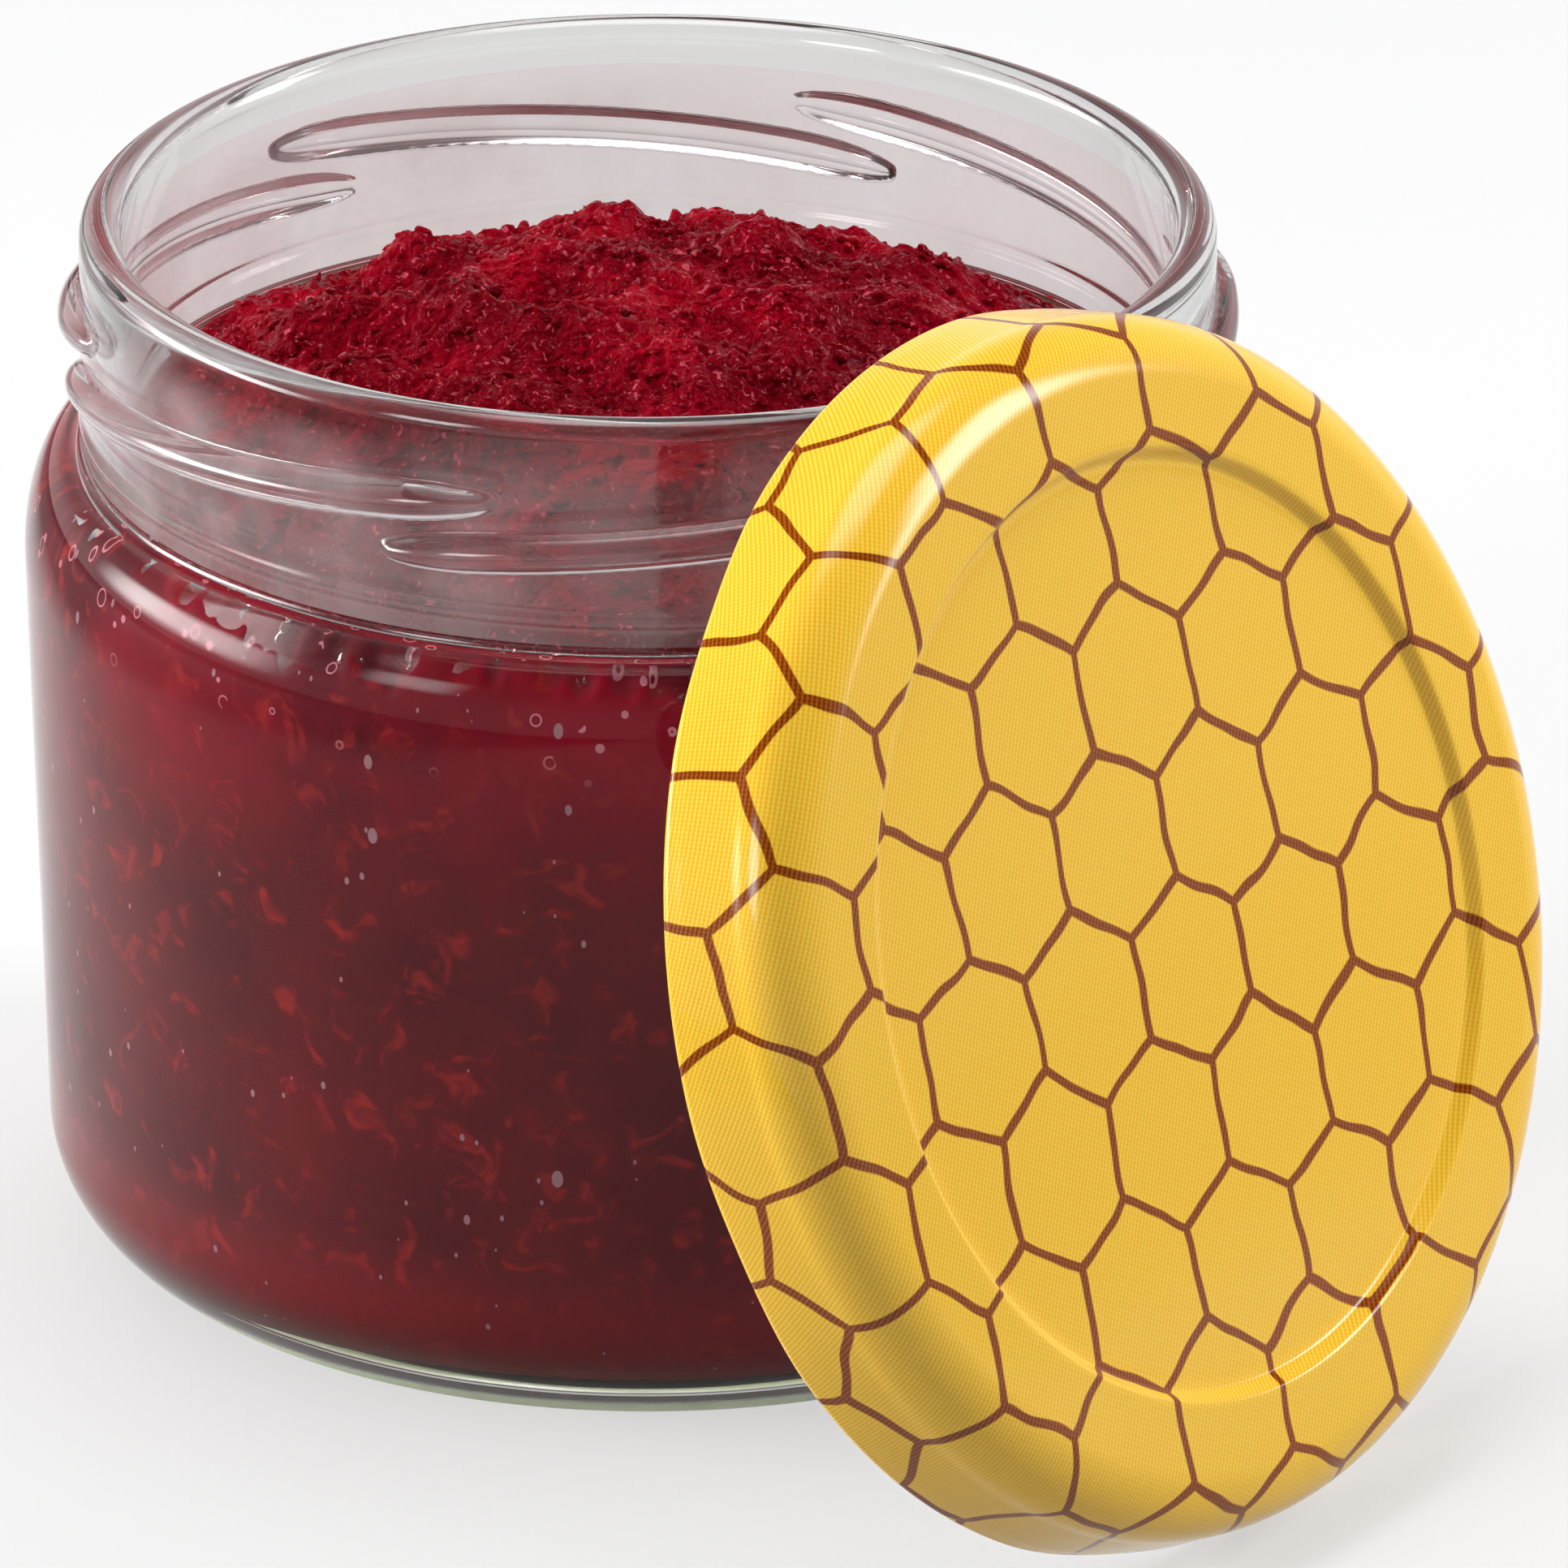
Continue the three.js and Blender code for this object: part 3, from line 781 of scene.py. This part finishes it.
def side_material():
    """Preserve behind the glass: dark juice with pale bubbles and flecks of fruit, with painted light:
    brighter red under the neck and near the floor.
    """
    settings = {"Roughness": 0.5, "Specular IOR Level": 0.1}
    look, tree, shader = new_material("preserve_side", settings)
    place = own_place(tree)
    broad = noise_node(tree, place, scale=60.0, detail=6.0, Roughness=0.6).outputs[0]
    low = ramp(tree, broad, LOW_STOPS)
    high = ramp(tree, broad, PAINTED_TOPLIGHT_STOPS)
    # Painted light from above: the brighter stops take over towards the neck.
    painted_toplight_share = window(tree, height_of(tree, place), *PAINTED_TOPLIGHT_BLEND)
    # Painted light near the floor, lifting the shade there.
    painted_low_light_share = window(tree, height_of(tree, place), *PAINTED_LOW_LIGHT_BLEND)
    low_with_painted_light = mix(tree, painted_low_light_share, low, PAINTED_LOW_LIGHT_TINT)
    juice = mix(tree, painted_toplight_share, low_with_painted_light, high)
    flecks = noise_node(tree, place, scale=360.0, detail=3.0, Roughness=0.6, Distortion=0.9).outputs[0]
    pulp = mix(tree, window(tree, flecks, *FRUIT_LEVELS), juice, FRUIT_TINT)
    dots = speckle(tree, place, *DOTS)
    specks = speckle(tree, place, *SPECKS)
    spots = math_node(tree, "MAXIMUM", dots, specks)
    dotted = mix(tree, spots, pulp, SPOT_TINT)
    frothy = mix(tree, froth(tree, place), dotted, FROTH_TINT)
    tree.links.new(frothy, shader.inputs["Base Color"])
    return look


def froth(tree, place):
    """Rims of the small bubbles along the contact line, 0 or 1."""
    cells = add(tree, "TexVoronoi", {"Vector": place, "Scale": FROTH_RATE})
    parts = add(tree, "SeparateColor", {0: cells.outputs["Color"]})
    size = math_node(tree, "MULTIPLY_ADD", parts.outputs[1], *FROTH_SIZE)
    past_rim = math_node(tree, "SUBTRACT", cells.outputs["Distance"], size)
    rim = math_node(tree, "LESS_THAN", math_node(tree, "ABSOLUTE", past_rim), FROTH_RIM)
    strings = noise_node(tree, place, scale=150.0, detail=1.0).outputs[0]
    gathered = math_node(tree, "MULTIPLY_ADD", strings, *FROTH_STRINGS)
    chosen = math_node(tree, "LESS_THAN", parts.outputs[0], gathered)
    height = height_of(tree, place)
    band = window(tree, height, SHOULDER_Z - FROTH_BAND, SHOULDER_Z + FROTH_BAND)
    return math_node(tree, "MULTIPLY", math_node(tree, "MULTIPLY", rim, chosen), band)


def speckle(tree, place, rate, spare):
    """Sparse upright flecks of uneven size, 0 or 1. Spare is the share of cells left out."""
    tall = vector_node(tree, "MULTIPLY", place, SPOT_STRETCH).outputs[0]
    cells = add(tree, "TexVoronoi", {"Vector": tall, "Scale": rate})
    parts = add(tree, "SeparateColor", {0: cells.outputs["Color"]})
    size = math_node(tree, "MULTIPLY_ADD", parts.outputs[1], *SPOT_SIZE)
    inside = math_node(tree, "LESS_THAN", cells.outputs["Distance"], size)
    chosen = math_node(tree, "GREATER_THAN", parts.outputs[0], spare)
    return math_node(tree, "MULTIPLY", inside, chosen)


# Lid
def lid_outside():
    step = PANEL_RADIUS + PANEL_STEP
    round_z = LID_HEIGHT - LID_ROUND
    low = LID_HEIGHT - PANEL_DEPTH
    skirt = (ROUND_CENTRE + LID_ROUND + SKIRT_EASE[0], round_z - SKIRT_EASE[1])
    slope = [
        (PANEL_RADIUS + PANEL_STEP * s, low + PANEL_DEPTH * (3 - 2 * s) * s * s)
        for s in np.linspace(0, 1, 9)
    ]
    return (
        line((0, low), (PANEL_RADIUS, low), 40)
        + slope
        + line((step + RING_EASE, LID_HEIGHT), (ROUND_CENTRE, LID_HEIGHT), 8)
        + arc(ROUND_CENTRE, round_z, LID_ROUND, LID_ROUND, 90, 0, 20)
        + line(skirt, (LID_RADIUS, CURL + CURL_EASE), 10)
        + arc(LID_RADIUS - CURL, CURL, CURL, CURL, 20, -90, 12)
    )


def lid_inside():
    step = PANEL_RADIUS + PANEL_STEP + SHEET / 2
    round_z = LID_HEIGHT - LID_ROUND
    inner = LID_ROUND - SHEET
    low = LID_HEIGHT - PANEL_DEPTH - SHEET
    under = LID_HEIGHT - SHEET
    return (
        arc(LID_RADIUS - CURL, CURL, CURL, CURL, -105, -255, 14)
        + [(LID_RADIUS - SHEET, 2 * CURL)]
        + arc(ROUND_CENTRE, round_z, inner, inner, 0, 90, 14)
        + line((ROUND_CENTRE - INNER_EASE, under), (step, under), 6)
        + line((step, under), (step - PANEL_STEP, low), 6)
        + line((step - PANEL_STEP, low), (0, low), 20)
        + [(0, low)]
    )


def lid_piece():
    outside = lid_outside()
    profile = outside + lid_inside()
    radius, height, angle = turned(profile, LID_COLUMNS)
    low = np.clip(1 - height / (LID_HEIGHT - LID_ROUND), 0, 1)
    near = np.clip(np.cos(LUG_COUNT * angle), 0, 1) ** 2
    radius = np.where(radius > LUG_INNER, radius - FLAT_DEPTH * low * near, radius)
    points = to_points(radius, height, angle)
    faces = grid_faces(len(profile), LID_COLUMNS)[:, ::-1]
    lid_points = [points]
    lid_faces = [faces]
    for i in range(LUG_COUNT):
        lug_points, lug_faces = lug(i)
        lid_faces.append(lug_faces + sum(len(p) for p in lid_points))
        lid_points.append(lug_points)
    points = np.concatenate(lid_points)
    faces = np.concatenate(lid_faces)
    piece = build("lid", points, faces, LID_PLACE, weld=False)
    white = np.ones(len(piece.data.polygons), np.int32)
    white[: (len(outside) - BARE_ROWS) * LID_COLUMNS] = 0
    piece.data.polygons.foreach_set("material_index", white)
    map_print(piece, profile)
    finish_piece(piece, "lid", "lid_shell", [print_material(), lacquer_material()])


def map_print(piece, profile):
    """Print coordinates: the outside rolled out flat from the middle, along the sheet."""
    steps = np.hypot(*np.diff(np.array(profile), axis=0).T)
    length = np.concatenate([[0], np.cumsum(steps)])
    angle = np.linspace(0, 2 * math.pi, LID_COLUMNS, endpoint=False)
    across = (length[:, None] * np.cos(angle) / PRINT_SPAN + 0.5).ravel()
    upward = (length[:, None] * np.sin(angle) / PRINT_SPAN + 0.5).ravel()
    spare = len(piece.data.vertices) - len(across)
    across = np.concatenate([across, np.zeros(spare)])
    upward = np.concatenate([upward, np.zeros(spare)])
    corner = np.zeros(len(piece.data.loops), np.int32)
    piece.data.loops.foreach_get("vertex_index", corner)
    layer = piece.data.uv_layers.new(name="print")
    layer.data.foreach_set("uv", np.stack([across[corner], upward[corner]], -1).ravel())


def lug(i):
    """One lug: the rolled edge pressed flat and inwards."""
    points = []
    edge = LID_RADIUS - CURL
    for s in np.linspace(-1, 1, LUG_STEPS):
        inner = LUG_INNER + (edge - LUG_INNER) * s**LUG_CORNER
        turn = math.radians(LUG_SPAN / 2 * s + 360 / LUG_COUNT * i)
        middle = (inner + edge) / 2
        half = (edge - inner) / 2 + LUG_END
        for x, z in arc(middle, LUG_Z, half, LUG_HALF, 0, 360 - 360 / LUG_RING, LUG_RING - 1):
            points.append((x * math.cos(turn), x * math.sin(turn), z))
    return np.array(points), grid_faces(LUG_STEPS, LUG_RING)[:, ::-1]


def print_material():
    settings = {
        "Roughness": 0.2,
        "Specular IOR Level": 0.05,
        "Coat Weight": 0.5,
        "Coat Roughness": 0.06,
    }
    look, tree, shader = new_material("lid_print", settings)
    layer = add(tree, "UVMap", uv_map="print").outputs[0]
    edge = honeycomb(tree, layer)
    screen = halftone(tree, layer)
    ground = mix(tree, screen, *GROUND)
    ink = mix(tree, screen, *INK)
    line_share = window(tree, edge, *LINE_EDGE)
    tree.links.new(mix(tree, line_share, ground, ink), shader.inputs["Base Color"])
    return look


def turn_print(tree, layer, angle):
    values = {"Vector": layer, "Angle": angle}
    return add(tree, "VectorRotate", values, rotation_type="Z_AXIS").outputs[0]


def honeycomb(tree, layer):
    """Distance from the nearest cell wall, as a share of the pitch."""
    level = turn_print(tree, layer, CELL_TURN)
    wobble = noise_node(tree, layer, scale=14.0, detail=1.0).outputs["Color"]
    shifted = vector_node(tree, "MULTIPLY_ADD", wobble, CELL_WOBBLE, level).outputs[0]
    scaled = vector_node(tree, "SCALE", shifted)
    scaled.inputs["Scale"].default_value = PRINT_SPAN / CELL_PITCH
    spot = vector_node(tree, "MULTIPLY", scaled.outputs[0], (1, 1, 0)).outputs[0]
    half = (CELL_SLANT[0], CELL_SLANT[1], 0.5)
    back = (-CELL_SLANT[0], -CELL_SLANT[1], -0.5)
    first = vector_node(tree, "WRAP", spot, half, back).outputs[0]
    moved = vector_node(tree, "SUBTRACT", spot, CELL_SLANT).outputs[0]
    second = vector_node(tree, "WRAP", moved, half, back).outputs[0]
    first_reach = vector_node(tree, "LENGTH", first).outputs["Value"]
    second_reach = vector_node(tree, "LENGTH", second).outputs["Value"]
    nearer = math_node(tree, "LESS_THAN", first_reach, second_reach)
    cell = add(tree, "Mix", {0: nearer, 4: second, 5: first}, data_type="VECTOR").outputs[1]
    folded = vector_node(tree, "ABSOLUTE", cell).outputs[0]
    slanted = vector_node(tree, "DOT_PRODUCT", folded, CELL_SLANT).outputs["Value"]
    upright = add(tree, "SeparateXYZ", {0: folded}).outputs[0]
    far = math_node(tree, "MAXIMUM", slanted, upright)
    return math_node(tree, "SUBTRACT", 0.5, far)


def halftone(tree, layer):
    """Fine printing screen of slanting dots, 0 to 1."""
    parts = add(tree, "SeparateXYZ", {0: turn_print(tree, layer, SCREEN_TURN)})
    rate = 2 * math.pi * PRINT_SPAN / SCREEN_PITCH
    across = math_node(tree, "SINE", math_node(tree, "MULTIPLY", parts.outputs[0], rate))
    upward = math_node(tree, "SINE", math_node(tree, "MULTIPLY", parts.outputs[1], rate))
    both = math_node(tree, "ADD", across, math_node(tree, "MULTIPLY", upward, SCREEN_SLANT))
    return window(tree, both, *SCREEN_EDGE)


def lacquer_material():
    settings = {"Roughness": 0.3, "Coat Weight": 0.3, "Coat Roughness": 0.1}
    look, tree, shader = new_material("lid_inside", settings)
    place = own_place(tree)
    cloud = noise_node(tree, place, scale=60.0, detail=2.0).outputs[0]
    tree.links.new(ramp(tree, cloud, LACQUER_STOPS), shader.inputs["Base Color"])
    return look


def seal_piece():
    half = SEAL_THICKNESS / 2
    low = SEAL_TOP - SEAL_THICKNESS
    section = (
        arc(SEAL[1] - half, low + half, half, half, 0, -90, 6)
        + arc(SEAL[0] + half, low + half, half, half, -90, -180, 6)
        + [(SEAL[0], SEAL_TOP), (SEAL[1], SEAL_TOP)]
        + [(SEAL[1], low + half)]
    )
    radius, height, angle = turned(section, LID_COLUMNS)
    points = to_points(radius, height, angle)
    wave = SEAL_WAVE[0] * (layered(points, SEAL_WAVE[1], seed=61) - 0.5)
    points[:, 2] += wave * (height < low + half)
    piece = build("seal", points, grid_faces(len(section), LID_COLUMNS), LID_PLACE)
    finish_piece(piece, "lid", "lid_gasket", [seal_material()])


def seal_material():
    look, tree, shader = new_material("sealing_compound", {"Roughness": 0.55})
    place = own_place(tree)
    cloud = noise_node(tree, place, scale=120.0, detail=3.0).outputs[0]
    tree.links.new(ramp(tree, cloud, SEAL_STOPS), shader.inputs["Base Color"])
    return look


# Stage
def seen_share(tree):
    """1 for what the camera sees, also in mirrors and through glass, and 0 for light."""
    path = add(tree, "LightPath").outputs
    through = math_node(tree, "MAXIMUM", path["Is Glossy Ray"], path["Is Transmission Ray"])
    return math_node(tree, "MAXIMUM", path["Is Camera Ray"], through)


def paper_share(tree):
    """1 on the white paper that the jar stands on, 0 on the pale grey far to its left."""
    return window(tree, to_right(tree, own_place(tree)), *PAPER_EDGE)


def floor():
    mesh = bpy.data.meshes.new("floor")
    side = FLOOR_SIDE
    corners = [(-side, -side, 0), (side, -side, 0), (side, side, 0), (-side, side, 0)]
    mesh.from_pydata(corners, [], [(0, 1, 2, 3)])
    plane = bpy.data.objects.new("floor", mesh)
    plane.location.z = -FLOOR_DROP
    bpy.context.scene.collection.objects.link(plane)
    settings = {"Roughness": 0.9, "Specular IOR Level": 0.0, "Emission Color": WHITE}
    look, tree, shader = new_material("floor", settings)
    paper = paper_share(tree)
    grey = mix(tree, paper, *FLOOR_GREYS)
    tree.links.new(grey, shader.inputs["Base Color"])
    glow = math_node(tree, "MULTIPLY_ADD", paper, *FLOOR_GLOW)
    seen_glow = math_node(tree, "MULTIPLY", seen_share(tree), glow)
    tree.links.new(seen_glow, shader.inputs["Emission Strength"])
    mesh.materials.append(look)
    plane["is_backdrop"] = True


def fade_out(tree, share):
    """1 in the middle of a softbox, 0 at its edge."""
    off_centre = math_node(tree, "ABSOLUTE", math_node(tree, "SUBTRACT", share, 0.5))
    return window(tree, off_centre, *LAMP_FADE)


def softbox(name, heading, height, reach, size, power):
    """Area light aimed at the object. The heading is counted from the camera's, to its left."""
    data = bpy.data.lights.new(name, "AREA")
    data.shape = "RECTANGLE"
    data.size, data.size_y = size
    data.energy = power
    data.use_nodes = True
    tree = data.node_tree
    spot = add(tree, "SeparateXYZ", {0: add(tree, "NewGeometry").outputs["Parametric"]})
    across = fade_out(tree, spot.outputs[0])
    glow = math_node(tree, "MULTIPLY", across, fade_out(tree, spot.outputs[1]))
    tree.links.new(glow, tree.nodes["Emission"].inputs["Strength"])
    lamp = bpy.data.objects.new(name, data)
    turn = math.radians(HEADING - heading)
    aim = Vector(TARGET) * MM
    lamp.location = aim + Vector((reach * math.cos(turn), reach * math.sin(turn), height))
    lamp.rotation_euler = (aim - lamp.location).to_track_quat("-Z", "Y").to_euler()
    bpy.context.scene.collection.objects.link(lamp)


def sky():
    world = bpy.data.worlds.new("studio")
    world.use_nodes = True
    bpy.context.scene.world = world
    tree = world.node_tree
    tree.nodes.clear()
    seen = seen_share(tree)
    light = add(tree, "Background", {"Color": WHITE, "Strength": SKY_LIGHT}).outputs[0]
    upward = add(tree, "SeparateXYZ", {0: add(tree, "TexCoord").outputs["Generated"]}).outputs[2]
    values = {0: upward, 1: SKY_RISE[0], 2: SKY_RISE[1], 3: SKY_GLOW[0], 4: SKY_GLOW[1]}
    dim = add(tree, "MapRange", values).outputs[0]
    backdrop = add(tree, "Background", {"Color": WHITE, "Strength": dim}).outputs[0]
    both = add(tree, "MixShader", {0: seen, 1: light, 2: backdrop}).outputs[0]
    add(tree, "OutputWorld", {"Surface": both})


def camera():
    data = bpy.data.cameras.new("camera")
    data.lens = LENS
    data.sensor_width = SENSOR
    data.clip_end = CLIP_END
    eye = bpy.data.objects.new("camera", data)
    aim = Vector(TARGET) * MM
    turn = math.radians(HEADING)
    rise = math.radians(ELEVATION)
    level = math.cos(rise)
    way = Vector((math.cos(turn) * level, math.sin(turn) * level, math.sin(rise)))
    eye.location = aim + way * DISTANCE * MM
    eye.rotation_euler = (-way).to_track_quat("-Z", "Y").to_euler()
    bpy.context.scene.collection.objects.link(eye)
    bpy.context.scene.camera = eye


glass_piece()
fill_piece()
gratings_piece()
bubbles_piece()
lid_piece()
seal_piece()
floor()
for lamp in LAMPS:
    softbox(*lamp)
sky()
camera()
bpy.context.scene.view_settings.view_transform = "Standard"

sizes = {"cad": cad_box, "visual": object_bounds()}
sizes = {key: [list(corner) for corner in value] for key, value in sizes.items()}
